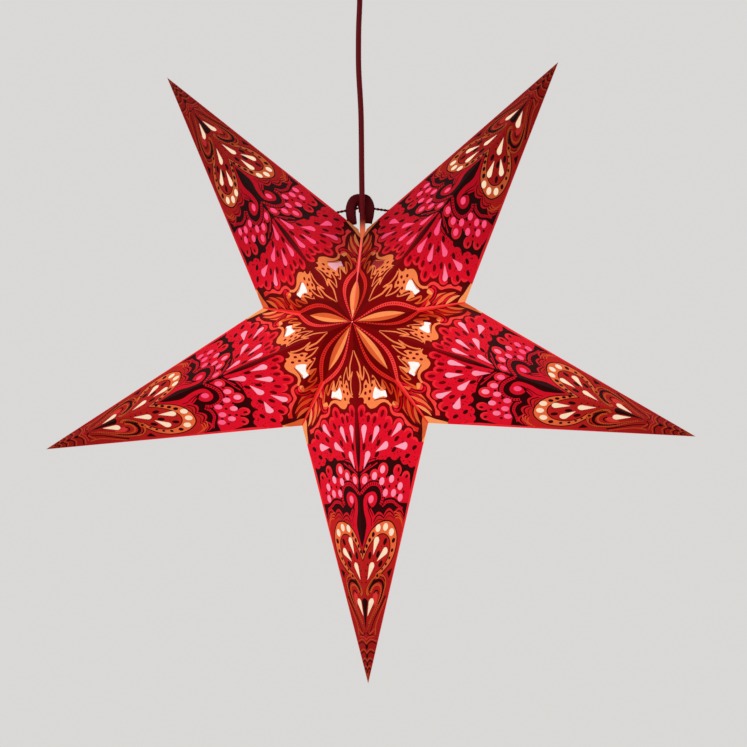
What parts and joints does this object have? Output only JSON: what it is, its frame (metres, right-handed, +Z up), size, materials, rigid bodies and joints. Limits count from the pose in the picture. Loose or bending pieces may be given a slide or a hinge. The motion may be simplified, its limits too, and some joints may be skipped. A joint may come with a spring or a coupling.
{
  "type": "paper star lantern",
  "caption": "Hanging star lantern of folded printed card with die-cut windows backed by coloured tissue, a lamp inside and a cord to a ceiling fitting.",
  "frame": {"origin": "middle of the flat face that lies against the ceiling", "axes": "+Z up, out of the ceiling face; -Y is the front of the star, +X is to the right seen from the front"},
  "size_m": [0.5992, 0.2078, 0.6776],
  "materials": {
    "printed_card": "matt card printed in maroon, crimson and orange",
    "pink_tissue": "thin translucent tissue",
    "cream_tissue": "thin translucent tissue",
    "pale_tissue": "thin translucent tissue",
    "ribbon": "woven ribbon",
    "holder_plastic": "moulded, satin",
    "contact_ceramic": "unglazed",
    "shell_brass": "rolled sheet",
    "bulb_glass": "frosted, lit",
    "cord_sheath": "smooth sheath",
    "fitting_plastic": "moulded, satin",
    "plate_steel": "zinc plated",
    "terminal_plastic": "moulded"
  },
  "bodies": {
    "root": {"arm_upper_left": "printed_card", "arm_upper_right": "printed_card", "arm_right": "printed_card", "arm_bottom": "printed_card", "arm_left": "printed_card", "pink_tissue_upper_left": "pink_tissue", "pink_tissue_upper_right": "pink_tissue", "pink_tissue_right": "pink_tissue", "pink_tissue_bottom": "pink_tissue", "pink_tissue_left": "pink_tissue", "cream_tissue_upper_left": "cream_tissue", "cream_tissue_upper_right": "cream_tissue", "cream_tissue_right": "cream_tissue", "cream_tissue_bottom": "cream_tissue", "cream_tissue_left": "cream_tissue", "pale_tissue_front_upper_left": "pale_tissue", "pale_tissue_front_upper_right": "pale_tissue", "pale_tissue_front_right": "pale_tissue", "pale_tissue_front_bottom": "pale_tissue", "pale_tissue_front_left": "pale_tissue", "pale_tissue_back_upper_left": "pale_tissue", "pale_tissue_back_upper_right": "pale_tissue", "pale_tissue_back_right": "pale_tissue", "pale_tissue_back_bottom": "pale_tissue", "pale_tissue_back_left": "pale_tissue", "tie_ribbon": "ribbon", "holder_cap": "holder_plastic", "holder_sleeve": "holder_plastic", "contact_block": "contact_ceramic", "screw_shell": "shell_brass", "bulb": "bulb_glass", "cord": "cord_sheath", "cord_grip": "fitting_plastic", "grip_nut": "fitting_plastic", "ceiling_cup": "fitting_plastic", "ceiling_plate": "plate_steel", "terminal_block": "terminal_plastic"}
  },
  "joints": []
}
